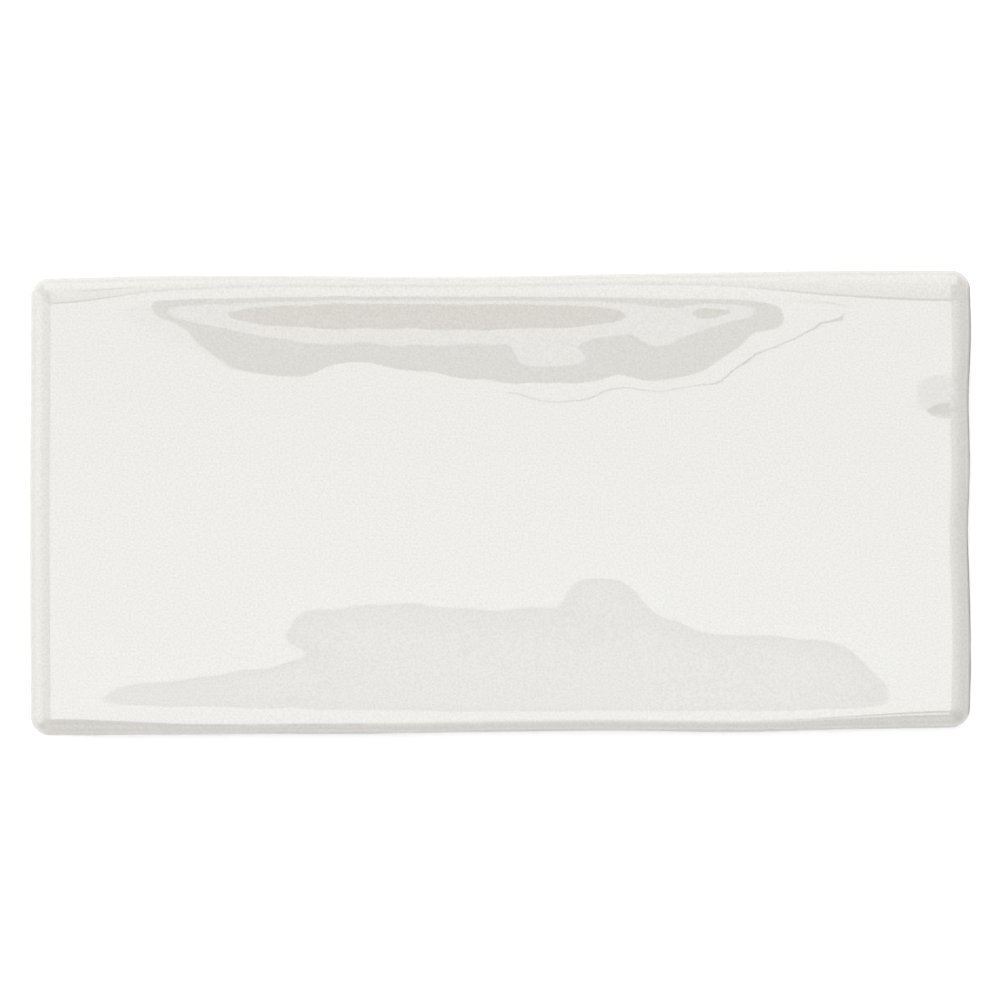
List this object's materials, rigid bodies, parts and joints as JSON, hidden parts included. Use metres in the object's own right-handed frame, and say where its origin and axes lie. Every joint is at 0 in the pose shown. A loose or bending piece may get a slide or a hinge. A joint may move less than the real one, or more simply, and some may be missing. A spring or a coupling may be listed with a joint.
{
  "type": "ceramic wall tile",
  "caption": "Oblong glazed ceramic wall tile with a gently waved gloss face, cushioned wandering edges and a keyed back for adhesive.",
  "frame": {"origin": "middle of the flat back, on the surface that the tile lies on", "axes": "+X along the tile's length, +Y across its width, +Z out of the glazed face"},
  "size_m": [0.149, 0.0736, 0.009],
  "materials": {
    "white_glaze": "gloss warm white glaze on a pale fired body"
  },
  "bodies": {
    "root": {"wall_tile": "white_glaze"}
  },
  "joints": []
}
